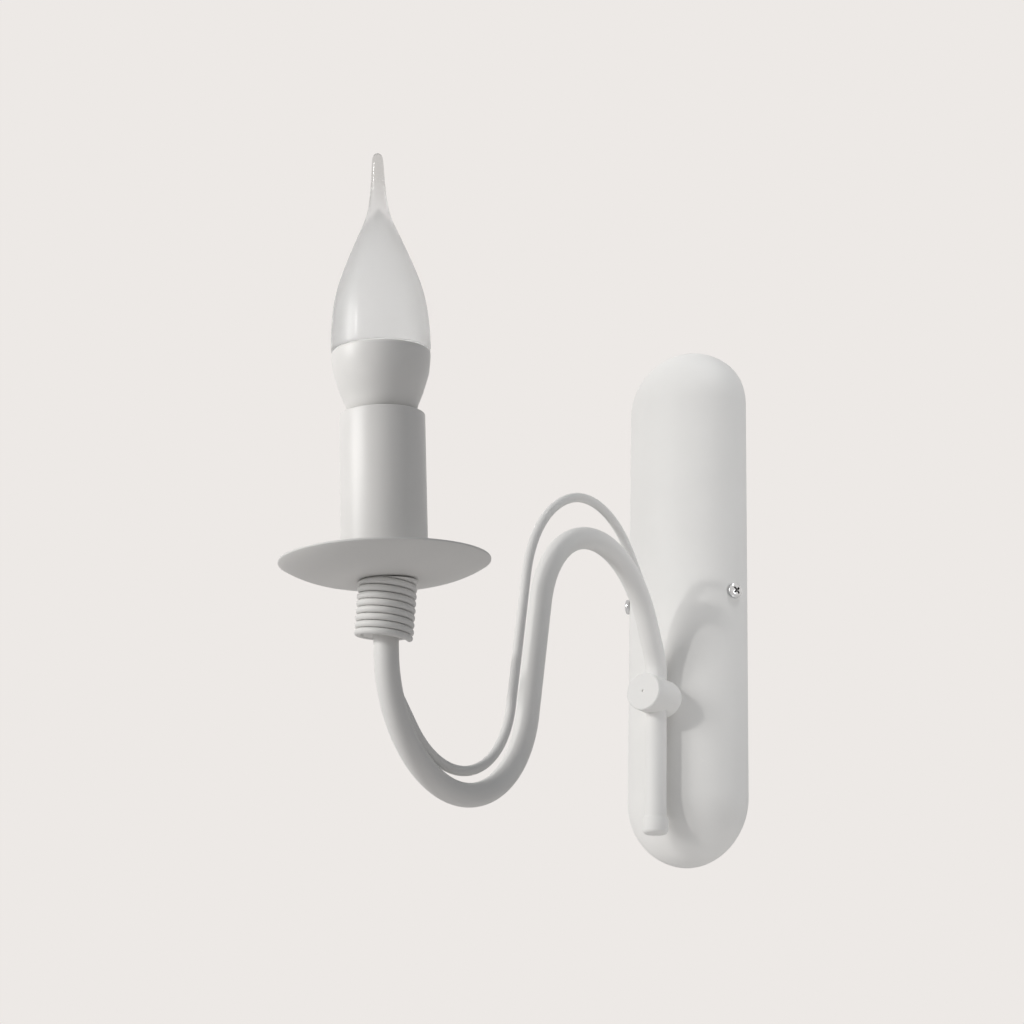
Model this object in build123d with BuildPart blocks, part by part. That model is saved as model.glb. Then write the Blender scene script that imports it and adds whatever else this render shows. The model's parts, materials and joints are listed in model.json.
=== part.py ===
"""Candle wall light: pill-shaped wall cover, swivelling bent arm with an accent wire, coil collar,
drip plate, candle sleeve and a screw-in flame lamp.

Millimetres. The wall is the plane Y = 0, the light stands out towards -Y and +Z is up.
The origin is on the wall at the centre of the cover's back.
"""
import os
from math import asin, atan2, cos, pi, radians, sin, tan

from build123d import *

os.makedirs("parts", exist_ok=True)

# Clearances between pieces that rest on, press into or screw into each other
seat_gap = 0.05
fit_gap = 0.04
thread_clearance = 0.03
swivel_clearance = 0.08

# Wall cover: a pressed pill with a half-elliptic section
cover_width = 58.0
cover_height = 242.0
cover_depth = 24.0
cover_flank = 1.0
cover_wall = 1.2

# Wall bracket: a slotted strap with a cross piece whose ears take the side screws
bracket_sheet = 2.0
strap_width = 24.0
strap_length = 190.0
strap_corner = 6.0
cross_height = 16.0
ear_inset = 2.5
ear_knee = 5.5
ear_reach = 7.5
wall_slot_spacing = 140.0
wall_slot_length = 12.0
wall_slot_width = 5.0
cable_hole_diameter = 10.0
cable_hole_rise = 17.0

# Side screws, square to the cover's flank
side_screw_out = 9.0
side_screw_diameter = 4.0
side_screw_length = 9.0
side_head_diameter = 6.8
side_head_height = 2.2
screw_hole_clearance = 0.2
cross_slot_width = 0.9
cross_slot_length = 3.8
cross_slot_depth = 1.1

# Terminal block and earth screw on the bracket
block_width = 25.0
block_height = 17.0
block_depth = 14.0
block_rise = 35.0
block_round = 1.5
pole_count = 3
pole_spacing = 8.0
pole_bore = 3.4
clamp_spacing = 9.0
clamp_screw_diameter = 3.0
clamp_screw_length = 5.0
clamp_screw_sink = 0.8
earth_screw_drop = 25.0
earth_screw_diameter = 4.0
earth_head_diameter = 7.5
earth_head_height = 2.2

# Boss that carries the arm, with its washer and nut behind the cover
boss_drop = 50.0
boss_diameter = 16.8
boss_front = 11.4
boss_chamfer = 0.5
boss_dimple_diameter = 1.4
boss_dimple_depth = 0.5
spigot_diameter = 10.0
spigot_bore = 6.0
spigot_clearance = 0.2
spigot_tail = 2.0
washer_diameter = 14.0
washer_thickness = 2.6
boss_nut_flats = 14.0
boss_nut_height = 5.0

# Arm: a bent tube, given as a bender reads it
tube_diameter = 9.5
tube_wall = 1.0
leg_out = 31.0
foot_drop = 109.4
kick_above_boss = 9.1
kick_radius = 25.0
kick_angle = 27.2
kick_run = 14.2
arch_radius = 45.25
arch_heading = 171.2
fall_run = 49.3
dip_radius = 48.3
candle_lean = 5.5
tube_tail = 14.0
wire_window_height = 5.0
wire_window_angle = 160.0

# Cap on the foot of the leg
foot_cap_diameter = 12.0
foot_cap_height = 7.1
foot_cap_floor = 1.6
foot_cap_round = 0.5

# Accent wire: hugs the wall side of the arch, crosses over it and runs into the tube inside the dip
accent_diameter = 4.0
weld_gap = 0.05
accent_arch_heading = 50.0
accent_arch_weld = 16.0
accent_rise = 16.2
accent_spacing = 12.15
accent_dip_radius = 38.65
accent_lift = 8.77
accent_end_heading = 60.0
accent_land = 24.0

# Coil collar on its bush, heights measured up the candle from the end of the dip
coil_outer = 22.4
coil_wire = 2.3
coil_pitch = 2.75
coil_turns = 7
coil_start = 4.95
coil_begin = 25.0
coil_clearance = 0.3
bush_recess = 2.5
bush_shoulder = 1.45

# Threaded nipple from the tube's end into the lampholder
nipple_diameter = 10.0
nipple_length = 26.0
nipple_bore = 5.5
nipple_spigot_diameter = 7.3
nipple_spigot_length = 8.0

# Drip plate: a thin spun dish
drip_diameter = 80.0
drip_sheet = 0.8
drip_flat_radius = 17.0
drip_rise = 6.8
drip_hole_clearance = 0.15

# Candle sleeve
sleeve_diameter = 32.8
sleeve_wall = 1.2
sleeve_length = 63.15

# Lampholder
holder_diameter = 26.0
holder_wall = 2.2
holder_base_height = 25.5
holder_hub_height = 11.5
holder_body_height = 32.9
holder_floor = 5.0
holder_flange_diameter = 29.8
holder_flange_height = 3.0
holder_flange_drop = 6.0
holder_mouth_diameter = 16.6
holder_mouth_depth = 2.5
shell_bore = 14.3
shell_wall = 0.5
contact_disc_diameter = 9.0
contact_disc_thickness = 0.6
contact_button_diameter = 4.0
contact_button_height = 1.56
terminal_post_diameter = 3.6
terminal_post_height = 7.0
terminal_post_spacing = 15.0

# Flame lamp with a small screw cap
lamp_seat_gap = 0.2
lamp_tip_diameter = 5.0
lamp_tip_height = 1.6
insulator_diameter = 9.5
insulator_height = 3.2
screw_cap_diameter = 13.7
screw_cap_wall = 0.4
screw_cap_height = 21.2
lamp_diameter = 38.2
lamp_neck_diameter = 18.0
lamp_waist_diameter = 26.0
lamp_waist_rise = 4.3
lamp_housing_height = 29.0
lamp_housing_wall = 1.4
glass_wall = 1.0
flame_height = 81.8
flame_tip_diameter = 4.0
led_board_thickness = 1.6
led_board_drop = 2.4
led_ledge = 1.2
chip_count = 8
chip_size = 2.8
chip_thickness = 0.8
chip_ring_diameter = 20.0
driver_width = 14.0
driver_height = 17.0
driver_thickness = 1.6

# Planes shared by the pieces
cover_section = Plane(origin=(0, 0, 0), x_dir=(1, 0, 0), z_dir=(0, 0, -1))
arm_plane = Plane(origin=(0, 0, 0), x_dir=(0, -1, 0), z_dir=(-1, 0, 0))


def save(piece, name):
    """Label a finished piece and write its own file."""
    piece.label = name
    export_step(piece, f"parts/{name}.step")


def pill(half_width, depth, half_run):
    """A solid pill on the wall: a straight run of half-elliptic section with a turned dome at each end."""
    crown = depth - cover_flank
    with BuildPart() as form:
        with BuildSketch(cover_section):
            with BuildLine():
                Polyline(
                    (half_width, cover_flank), (half_width, 0), (-half_width, 0), (-half_width, cover_flank)
                )
                EllipticalCenterArc((0, cover_flank), half_width, crown, 0, arc_size=180)
            make_face()
        extrude(amount=half_run, both=True)
        for end in (-half_run, half_run):
            with BuildSketch(cover_section.offset(-end)):
                with BuildLine():
                    Polyline((0, depth), (0, 0), (half_width, 0), (half_width, cover_flank))
                    EllipticalCenterArc((0, cover_flank), half_width, crown, 0, arc_size=90)
                make_face()
            revolve(axis=Axis((0, 0, end), (0, 1, 0)))
    return form.part


def going(heading):
    """Unit step (out, up) in the arm's plane for a heading in degrees from straight up towards the room."""
    return Vector(sin(radians(heading)), cos(radians(heading)))


def across(heading):
    """Unit step square to a heading, on the side that a bend towards the room has its centre."""
    return Vector(cos(radians(heading)), -sin(radians(heading)))


def in_arm(point):
    """World place of a point of the arm's plane."""
    return arm_plane.from_local_coords((point.X, point.Y, 0))


# Wall cover
half_cover = cover_width / 2
cover_run = cover_height / 2 - half_cover
cover_crown = cover_depth - cover_flank
cover_form = pill(half_cover, cover_depth, cover_run)
cavity_form = pill(half_cover - cover_wall, cover_depth - cover_wall, cover_run)
saddle_form = pill(half_cover + seat_gap, cover_depth + seat_gap, cover_run)
washer_form = pill(half_cover - cover_wall - seat_gap, cover_depth - cover_wall - seat_gap, cover_run)

# Each side screw stands square to the elliptic flank
screw_lift = asin((side_screw_out - cover_flank) / cover_crown)
screw_side = half_cover * cos(screw_lift)
screw_tilt = atan2(sin(screw_lift) / cover_crown, cos(screw_lift) / half_cover)
screw_planes = [
    Plane(
        origin=(side * screw_side, -side_screw_out, 0),
        x_dir=(0, 0, 1),
        z_dir=(side * cos(screw_tilt), -sin(screw_tilt), 0),
    )
    for side in (-1, 1)
]

with BuildPart() as wall_cover:
    add(cover_form)
    add(cavity_form, mode=Mode.SUBTRACT)
    for screw_plane in screw_planes:
        with BuildSketch(screw_plane):
            Circle(side_screw_diameter / 2 + screw_hole_clearance)
        extrude(amount=4 * cover_wall, both=True, mode=Mode.SUBTRACT)
    with BuildSketch(Plane.XZ):
        with Locations((0, -boss_drop)):
            Circle(spigot_diameter / 2 + spigot_clearance)
    extrude(amount=2 * cover_depth, mode=Mode.SUBTRACT)
save(wall_cover.part, "wall_cover")

# Wall bracket, the ears standing off the wall and then leaning with the cover's flank
ear_out = half_cover - ear_inset
ear_root = ear_out - bracket_sheet
knee_back = bracket_sheet * tan(screw_tilt / 2)
ear_tip = (ear_out - ear_reach * sin(screw_tilt), ear_knee + ear_reach * cos(screw_tilt))
ear_tip_back = (ear_tip[0] - bracket_sheet * cos(screw_tilt), ear_tip[1] - bracket_sheet * sin(screw_tilt))
with BuildPart() as wall_bracket:
    with BuildSketch(Plane.XZ):
        RectangleRounded(strap_width, strap_length, strap_corner)
        Rectangle(2 * ear_out, cross_height)
    extrude(amount=bracket_sheet)
    for side in (-1, 1):
        with BuildSketch(cover_section):
            with BuildLine():
                Polyline(
                    (side * ear_root, 0),
                    (side * ear_out, 0),
                    (side * ear_out, ear_knee),
                    (side * ear_tip[0], ear_tip[1]),
                    (side * ear_tip_back[0], ear_tip_back[1]),
                    (side * ear_root, ear_knee - knee_back),
                    close=True,
                )
            make_face()
        extrude(amount=cross_height / 2, both=True)
    for screw_plane in screw_planes:
        with BuildSketch(screw_plane):
            Circle(side_screw_diameter / 2 + thread_clearance)
        extrude(amount=-2 * side_screw_length, mode=Mode.SUBTRACT)
    with BuildSketch(Plane.XZ):
        with Locations((0, -wall_slot_spacing / 2), (0, wall_slot_spacing / 2)):
            SlotOverall(wall_slot_length, wall_slot_width, rotation=90)
        with Locations((0, cable_hole_rise)):
            Circle(cable_hole_diameter / 2)
        with Locations((0, -earth_screw_drop)):
            Circle(earth_screw_diameter / 2 + thread_clearance)
    extrude(amount=bracket_sheet, mode=Mode.SUBTRACT)
save(wall_bracket.part, "wall_bracket")

# Two pan-head side screws with a crossed recess
head_radius = side_head_diameter / 2
head_edge = seat_gap + side_head_height * 0.45
head_top = seat_gap + side_head_height
with BuildPart() as cover_screws:
    for screw_plane in screw_planes:
        screw_axis = Axis(screw_plane.origin, screw_plane.z_dir)
        turning_plane = Plane(
            origin=screw_plane.origin,
            x_dir=screw_plane.x_dir,
            z_dir=screw_plane.x_dir.cross(screw_plane.z_dir),
        )
        with BuildSketch(turning_plane):
            with BuildLine():
                Polyline(
                    (0, head_top),
                    (0, -side_screw_length),
                    (side_screw_diameter / 2, -side_screw_length),
                    (side_screw_diameter / 2, seat_gap),
                    (head_radius, seat_gap),
                    (head_radius, head_edge),
                )
                EllipticalCenterArc((0, head_edge), head_radius, head_top - head_edge, 0, arc_size=90)
            make_face()
        revolve(axis=screw_axis)
        with BuildSketch(screw_plane.offset(head_top - cross_slot_depth)):
            Rectangle(cross_slot_length, cross_slot_width, rotation=45)
            Rectangle(cross_slot_length, cross_slot_width, rotation=-45)
        extrude(amount=2 * cross_slot_depth, mode=Mode.SUBTRACT)
save(cover_screws.part, "cover_screws")

# Terminal block on the bracket, with a clamp screw over each wire end
block_back = bracket_sheet + seat_gap
block_front = block_back + block_depth
clamp_head = block_front - clamp_screw_sink
with BuildPart() as terminal_block:
    with BuildSketch(Plane.XZ.offset(block_back)):
        with Locations((0, block_rise)):
            RectangleRounded(block_width, block_height, block_round)
    extrude(amount=block_depth)
    with BuildSketch(Plane.XY.offset(block_rise)):
        with Locations((0, -block_back - block_depth / 2)):
            with GridLocations(pole_spacing, 0, pole_count, 1):
                Circle(pole_bore / 2)
    extrude(amount=block_height, both=True, mode=Mode.SUBTRACT)
    with BuildSketch(Plane.XZ.offset(block_front)):
        with Locations((0, block_rise)):
            with GridLocations(pole_spacing, clamp_spacing, pole_count, 2):
                Circle(clamp_screw_diameter / 2 + seat_gap)
    extrude(amount=-(clamp_screw_length + clamp_screw_sink), mode=Mode.SUBTRACT)
save(terminal_block.part, "terminal_block")

with BuildPart() as terminal_screws:
    with BuildSketch(Plane.XZ.offset(clamp_head)):
        with Locations((0, block_rise)):
            with GridLocations(pole_spacing, clamp_spacing, pole_count, 2):
                Circle(clamp_screw_diameter / 2)
    extrude(amount=-clamp_screw_length + seat_gap)
    with BuildSketch(Plane.XZ.offset(clamp_head)):
        with Locations((0, block_rise)):
            with GridLocations(pole_spacing, clamp_spacing, pole_count, 2):
                Rectangle(2 * clamp_screw_diameter, cross_slot_width)
    extrude(amount=-cross_slot_width, mode=Mode.SUBTRACT)
save(terminal_screws.part, "terminal_screws")

earth_seat = bracket_sheet + seat_gap
with BuildPart() as earth_screw:
    with BuildSketch(Plane.XZ.offset(earth_seat)):
        with Locations((0, -earth_screw_drop)):
            Circle(earth_head_diameter / 2)
    extrude(amount=earth_head_height)
    with BuildSketch(Plane.XZ.offset(earth_seat + earth_head_height)):
        with Locations((0, -earth_screw_drop)):
            Rectangle(earth_head_diameter, cross_slot_width)
    extrude(amount=-earth_head_height / 2, mode=Mode.SUBTRACT)
    with BuildSketch(Plane.XZ.offset(earth_seat)):
        with Locations((0, -earth_screw_drop)):
            Circle(earth_screw_diameter / 2)
    extrude(amount=-bracket_sheet)
save(earth_screw.part, "earth_screw")

# Boss: a turned stud, cross-bored for the arm and saddled to the cover's crown
tube_radius = tube_diameter / 2
boss_face = leg_out + boss_front
washer_back = cover_depth - cover_wall - washer_thickness
boss_nut_back = washer_back - boss_nut_height
spigot_end = boss_nut_back - spigot_tail
with BuildPart() as arm_boss:
    with BuildSketch(Plane.XZ.offset(cover_depth / 2)):
        with Locations((0, -boss_drop)):
            Circle(boss_diameter / 2)
    extrude(amount=boss_face - cover_depth / 2)
    chamfer(arm_boss.faces().sort_by(Axis.Y)[0].edges(), boss_chamfer)
    add(saddle_form, mode=Mode.SUBTRACT)
    with BuildSketch(Plane.XZ.offset(spigot_end)):
        with Locations((0, -boss_drop)):
            Circle(spigot_diameter / 2)
    extrude(amount=cover_depth + 2 * seat_gap - spigot_end)
    with BuildSketch(Plane.XZ.offset(spigot_end)):
        with Locations((0, -boss_drop)):
            Circle(spigot_bore / 2)
    extrude(amount=leg_out - spigot_end, mode=Mode.SUBTRACT)
    with BuildSketch(Plane.XY.offset(-boss_drop)):
        with Locations((0, -leg_out)):
            Circle(tube_radius + swivel_clearance)
    extrude(amount=boss_diameter, both=True, mode=Mode.SUBTRACT)
    with BuildSketch(Plane.XZ.offset(boss_face)):
        with Locations((0, -boss_drop)):
            Circle(boss_dimple_diameter / 2)
    extrude(amount=-boss_dimple_depth, taper=40, mode=Mode.SUBTRACT)
save(arm_boss.part, "arm_boss")

# Saddle washer and hexagon nut behind the cover's crown
with BuildPart() as boss_washer:
    with BuildSketch(Plane.XZ.offset(washer_back)):
        with Locations((0, -boss_drop)):
            Circle(washer_diameter / 2)
            Circle(spigot_diameter / 2 + spigot_clearance, mode=Mode.SUBTRACT)
    extrude(amount=cover_depth - washer_back)
    add(washer_form, mode=Mode.INTERSECT)
save(boss_washer.part, "boss_washer")

with BuildPart() as boss_nut:
    with BuildSketch(Plane.XZ.offset(boss_nut_back)):
        with Locations((0, -boss_drop)):
            RegularPolygon(boss_nut_flats / 2, 6, major_radius=False)
            Circle(spigot_diameter / 2 + thread_clearance, mode=Mode.SUBTRACT)
    extrude(amount=boss_nut_height - seat_gap)
save(boss_nut.part, "boss_nut")

# Arm tube: leg, kick, arch, fall, dip and a straight tail up the candle
with BuildLine(arm_plane) as arm_line:
    leg = Line((leg_out, -foot_drop), (leg_out, kick_above_boss - boss_drop))
    kick = JernArc(leg @ 1, leg % 1, kick_radius, -kick_angle)
    lead = Line(kick @ 1, kick @ 1 + (kick % 1) * kick_run)
    arch = JernArc(lead @ 1, lead % 1, arch_radius, kick_angle - arch_heading)
    fall = Line(arch @ 1, arch @ 1 + (arch % 1) * fall_run)
    dip = JernArc(fall @ 1, fall % 1, dip_radius, arch_heading - candle_lean)
    tail = Line(dip @ 1, dip @ 1 + (dip % 1) * tube_tail)

window_half = radians(wire_window_angle / 2)
with BuildPart() as arm_tube:
    with BuildSketch(Plane(origin=leg @ 0, x_dir=(1, 0, 0), z_dir=leg % 0)):
        Circle(tube_radius)
        Circle(tube_radius - tube_wall, mode=Mode.SUBTRACT)
    sweep(path=arm_line.wires()[0])
    window_plane = Plane(
        origin=(0, -leg_out, -boss_drop),
        x_dir=(sin(window_half), cos(window_half), 0),
        z_dir=(cos(window_half), -sin(window_half), 0),
    )
    with BuildSketch(window_plane):
        with Locations((tube_radius, 0)):
            Rectangle(4 * tube_wall, wire_window_height)
    revolve(
        axis=Axis((0, -leg_out, 0), (0, 0, 1)), revolution_arc=wire_window_angle, mode=Mode.SUBTRACT
    )
save(arm_tube.part, "arm_tube")

# Cap on the foot of the leg
with BuildPart() as leg_end_cap:
    with BuildSketch(Plane.XY.offset(-foot_drop - foot_cap_floor)):
        with Locations((0, -leg_out)):
            Circle(foot_cap_diameter / 2)
    extrude(amount=foot_cap_height)
    fillet(leg_end_cap.faces().sort_by(Axis.Z)[0].edges(), foot_cap_round)
    with BuildSketch(Plane.XY.offset(-foot_drop - fit_gap)):
        with Locations((0, -leg_out)):
            Circle(tube_radius + fit_gap)
    extrude(amount=foot_cap_height, mode=Mode.SUBTRACT)
save(leg_end_cap.part, "leg_end_cap")

# Accent wire: its line is worked out in the arm's plane from the tube's bends
hug = tube_radius + accent_diameter / 2 + weld_gap
arch_centre = arm_plane.to_local_coords(arch.arc_center)
dip_centre = arm_plane.to_local_coords(dip.arc_center)
lane_step = going(arch_heading)
lane_side = across(arch_heading) * -1
lane = arm_plane.to_local_coords(fall @ 0) + lane_side * accent_spacing
hold_heading = accent_arch_heading - accent_arch_weld
hold_start = arch_centre - across(hold_heading) * (arch_radius + hug)
hold_end = arch_centre - across(accent_arch_heading) * (arch_radius + hug)
climb_end = hold_end + going(accent_arch_heading) * accent_rise
over_turn = arch_heading - accent_arch_heading
over_radius = (lane - climb_end).dot(lane_side) / (1 - cos(radians(over_turn)))
over_end = climb_end + (across(accent_arch_heading) - across(arch_heading)) * over_radius
turn_height = dip_centre.Y - dip_radius + accent_lift + accent_dip_radius
turn_out = lane.X + (accent_dip_radius - (turn_height - lane.Y) * lane_side.Y) / lane_side.X
turn_centre = Vector(turn_out, turn_height)
turn_start = turn_centre + across(arch_heading) * accent_dip_radius
drop_run = (turn_start - over_end).dot(lane_step)

with BuildLine(arm_plane) as accent_line:
    hold = JernArc(
        in_arm(hold_start), in_arm(going(hold_heading)), arch_radius + hug, -accent_arch_weld
    )
    climb = Line(hold @ 1, hold @ 1 + (hold % 1) * accent_rise)
    over = JernArc(climb @ 1, climb % 1, over_radius, -over_turn)
    drop = Line(over @ 1, over @ 1 + (over % 1) * drop_run)
    turn = JernArc(drop @ 1, drop % 1, accent_dip_radius, arch_heading - accent_end_heading)
    land = Line(turn @ 1, turn @ 1 + (turn % 1) * accent_land)

with BuildPart() as dip_envelope:
    with BuildLine():
        add(dip)
    with BuildSketch(Plane(origin=dip @ 0, x_dir=(1, 0, 0), z_dir=dip % 0)):
        Circle(tube_radius + weld_gap)
    sweep()

with BuildPart() as accent_wire:
    with BuildSketch(Plane(origin=hold @ 0, x_dir=(1, 0, 0), z_dir=hold % 0)):
        Circle(accent_diameter / 2)
    sweep(path=accent_line.wires()[0])
    add(dip_envelope.part, mode=Mode.SUBTRACT)
save(accent_wire.part, "accent_wire")

# The candle stands on the end of the dip and leans with it
candle_foot = dip @ 1
candle_up = dip % 1
candle_axis = Axis(candle_foot, candle_up)
candle = Plane(origin=candle_foot, x_dir=(1, 0, 0), z_dir=candle_up)
candle_section = Plane(origin=candle_foot, x_dir=(1, 0, 0), z_dir=Vector(1, 0, 0).cross(candle_up))

# Coil collar: one wire wound round the bush, half a turn to each pair of arcs
coil_radius = (coil_outer - coil_wire) / 2
coil_first = coil_start + coil_wire / 2
coil_top = coil_first + coil_turns * coil_pitch + coil_wire / 2


def coil_point(turns):
    """Place on the coil's centre line after this many left-hand turns."""
    angle = radians(coil_begin) - 2 * pi * turns
    height = coil_first + coil_pitch * turns
    return candle.from_local_coords((coil_radius * cos(angle), coil_radius * sin(angle), height))


def coil_way(turns):
    """Direction of the coil's centre line after this many turns."""
    angle = radians(coil_begin) - 2 * pi * turns
    swing = 2 * pi * coil_radius
    ahead = candle.from_local_coords((swing * sin(angle), -swing * cos(angle), coil_pitch))
    return (ahead - candle.origin).normalized()


def biarc_join(start, start_way, end, end_way):
    """Join point and direction of the two equal-reach arcs between two places on the coil."""
    chord = end - start
    ways = start_way + end_way
    spread = 2 * (1 - start_way.dot(end_way))
    slope = 2 * chord.dot(ways)
    reach = (-slope + (slope**2 + 4 * spread * chord.dot(chord)) ** 0.5) / (2 * spread)
    near = start + start_way * reach
    far = end - end_way * reach
    return (near + far) / 2, (far - near).normalized()


with BuildLine() as coil_line:
    Line(coil_point(0) - coil_way(0) * coil_wire, coil_point(0))
    for half in range(2 * coil_turns):
        begin = coil_point(half / 2)
        begin_way = coil_way(half / 2)
        finish = coil_point((half + 1) / 2)
        middle, middle_way = biarc_join(begin, begin_way, finish, coil_way((half + 1) / 2))
        TangentArc(begin, middle, tangent=begin_way)
        TangentArc(middle, finish, tangent=middle_way)
    Line(coil_point(coil_turns), coil_point(coil_turns) + coil_way(coil_turns) * coil_wire)
coil_path = coil_line.wires()[0]

with BuildPart() as collar_coil:
    with BuildSketch(Plane(origin=coil_path @ 0, z_dir=coil_path % 0)):
        Circle(coil_wire / 2)
    sweep(path=coil_path)
save(collar_coil.part, "collar_coil")

turn_samples = 120
coil_count = turn_samples * coil_turns
coil_samples = [coil_path @ (i / coil_count) for i in range(coil_count + 1)]
coil_spacing = min(
    (coil_samples[i] - coil_samples[j]).length
    for i in range(coil_count + 1)
    for j in range(i + turn_samples // 2, coil_count + 1)
)
print("least gap of the coil to itself", round(coil_spacing - coil_wire, 3), "mm")

# Bush: pressed on the tube's end, carries the coil outside and the drip plate on top
bush_radius = coil_radius - coil_wire / 2 - coil_clearance
bush_bottom = coil_start + bush_recess
bush_top = coil_top + bush_shoulder
nipple_radius = nipple_diameter / 2
with BuildPart() as coil_bush:
    with BuildSketch(candle_section):
        with BuildLine():
            Polyline(
                (tube_radius + fit_gap, bush_bottom),
                (bush_radius, bush_bottom),
                (bush_radius, bush_top),
                (nipple_radius + thread_clearance, bush_top),
                (nipple_radius + thread_clearance, tube_tail),
                (tube_radius + fit_gap, tube_tail),
                close=True,
            )
        make_face()
    revolve(axis=candle_axis)
save(coil_bush.part, "coil_bush")

# Nipple: stands on the tube's end with a spigot down its bore
nipple_bottom = tube_tail + seat_gap
nipple_top = tube_tail + nipple_length
with BuildPart() as arm_nipple:
    with BuildSketch(candle_section):
        with BuildLine():
            Polyline(
                (nipple_bore / 2, tube_tail - nipple_spigot_length),
                (nipple_spigot_diameter / 2, tube_tail - nipple_spigot_length),
                (nipple_spigot_diameter / 2, nipple_bottom),
                (nipple_radius, nipple_bottom),
                (nipple_radius, nipple_top),
                (nipple_bore / 2, nipple_top),
                close=True,
            )
        make_face()
    revolve(axis=candle_axis)
save(arm_nipple.part, "arm_nipple")

# Drip plate
drip_bottom = bush_top + seat_gap
drip_top = drip_bottom + drip_sheet
drip_radius = drip_diameter / 2
drip_hole = nipple_radius + drip_hole_clearance
with BuildPart() as drip_plate:
    with BuildSketch(candle_section):
        with BuildLine():
            Line((drip_hole, drip_bottom), (drip_flat_radius, drip_bottom))
            for low in (drip_bottom, drip_top):
                TangentArc((drip_flat_radius, low), (drip_radius, low + drip_rise), tangent=(1, 0))
            Line((drip_radius, drip_bottom + drip_rise), (drip_radius, drip_top + drip_rise))
            Polyline((drip_flat_radius, drip_top), (drip_hole, drip_top), (drip_hole, drip_bottom))
        make_face()
    revolve(axis=candle_axis)
save(drip_plate.part, "drip_plate")

# Candle sleeve: a plain tube standing on the flat of the dish
sleeve_radius = sleeve_diameter / 2
stand = drip_top + seat_gap
with BuildPart() as candle_sleeve:
    with BuildSketch(candle.offset(stand)):
        Circle(sleeve_radius)
        Circle(sleeve_radius - sleeve_wall, mode=Mode.SUBTRACT)
    extrude(amount=sleeve_length)
save(candle_sleeve.part, "candle_sleeve")

# Lampholder base: screwed down the nipple onto the dish, with two terminal posts inside
holder_radius = holder_diameter / 2
base_top = stand + holder_base_height
hub_top = stand + holder_hub_height
hub_bore = nipple_radius + thread_clearance
with BuildPart() as holder_base:
    with BuildSketch(candle_section):
        with BuildLine():
            Polyline(
                (hub_bore, stand),
                (holder_radius - holder_wall, stand),
                (holder_radius, stand + holder_wall),
                (holder_radius, base_top),
                (holder_radius - holder_wall, base_top),
                (holder_radius - holder_wall, hub_top),
                (hub_bore, hub_top),
                close=True,
            )
        make_face()
    revolve(axis=candle_axis)
save(holder_base.part, "holder_base")

post_foot = hub_top + seat_gap
with BuildPart() as holder_terminals:
    with BuildSketch(candle.offset(post_foot)):
        with GridLocations(terminal_post_spacing, 0, 2, 1):
            Circle(terminal_post_diameter / 2)
    extrude(amount=terminal_post_height)
    with BuildSketch(candle.offset(post_foot + terminal_post_height)):
        with GridLocations(terminal_post_spacing, 0, 2, 1):
            Rectangle(cross_slot_width, 2 * terminal_post_diameter)
    extrude(amount=-cross_slot_width, mode=Mode.SUBTRACT)
save(holder_terminals.part, "holder_terminals")

# Lampholder body: a thick tube with a floor, and a flange that centres the sleeve
body_bottom = base_top + seat_gap
floor_top = body_bottom + holder_floor
body_top = body_bottom + holder_body_height
flange_top = body_top - holder_flange_drop
flange_radius = holder_flange_diameter / 2
mouth_radius = holder_mouth_diameter / 2
shell_radius = shell_bore / 2 + shell_wall
shell_top = body_top - holder_mouth_depth
with BuildPart() as holder_body:
    with BuildSketch(candle_section):
        with BuildLine():
            Polyline(
                (0, body_bottom),
                (holder_radius, body_bottom),
                (holder_radius, flange_top - holder_flange_height),
                (flange_radius, flange_top - holder_flange_height),
                (flange_radius, flange_top),
                (holder_radius, flange_top),
                (holder_radius, body_top),
                (mouth_radius, body_top),
                (mouth_radius, shell_top),
                (shell_radius + fit_gap, shell_top),
                (shell_radius + fit_gap, floor_top),
                (0, floor_top),
                close=True,
            )
        make_face()
    revolve(axis=candle_axis)
save(holder_body.part, "holder_body")

shell_bottom = floor_top + fit_gap
with BuildPart() as screw_shell:
    with BuildSketch(candle.offset(shell_bottom)):
        Circle(shell_radius)
        Circle(shell_bore / 2, mode=Mode.SUBTRACT)
    extrude(amount=shell_top - shell_bottom)
save(screw_shell.part, "screw_shell")

button_foot = shell_bottom + contact_disc_thickness
contact_top = button_foot + contact_button_height
with BuildPart() as centre_contact:
    with BuildSketch(candle.offset(shell_bottom)):
        Circle(contact_disc_diameter / 2)
    extrude(amount=contact_disc_thickness)
    with BuildSketch(candle.offset(button_foot)):
        Circle(contact_button_diameter / 2)
    extrude(amount=contact_button_height)
    fillet(centre_contact.faces().sort_by(candle_axis)[-1].edges(), contact_button_height / 2)
save(centre_contact.part, "centre_contact")

# Lamp: contact, insulator and screw cap
lamp_tip = contact_top + lamp_seat_gap
insulator_bottom = lamp_tip + lamp_tip_height
cap_foot = insulator_bottom + insulator_height
flange = cap_foot + screw_cap_height
cap_radius = screw_cap_diameter / 2
with BuildPart() as bulb_contact:
    with BuildSketch(candle.offset(lamp_tip)):
        Circle(lamp_tip_diameter / 2)
    extrude(amount=lamp_tip_height - fit_gap)
    fillet(bulb_contact.faces().sort_by(candle_axis)[0].edges(), lamp_tip_height / 2)
save(bulb_contact.part, "bulb_contact")

with BuildPart() as bulb_insulator:
    with BuildSketch(candle_section):
        with BuildLine():
            Polyline(
                (0, insulator_bottom),
                (insulator_diameter / 2, insulator_bottom),
                (cap_radius - fit_gap, cap_foot - fit_gap),
                (0, cap_foot - fit_gap),
                close=True,
            )
        make_face()
    revolve(axis=candle_axis)
save(bulb_insulator.part, "bulb_insulator")

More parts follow.
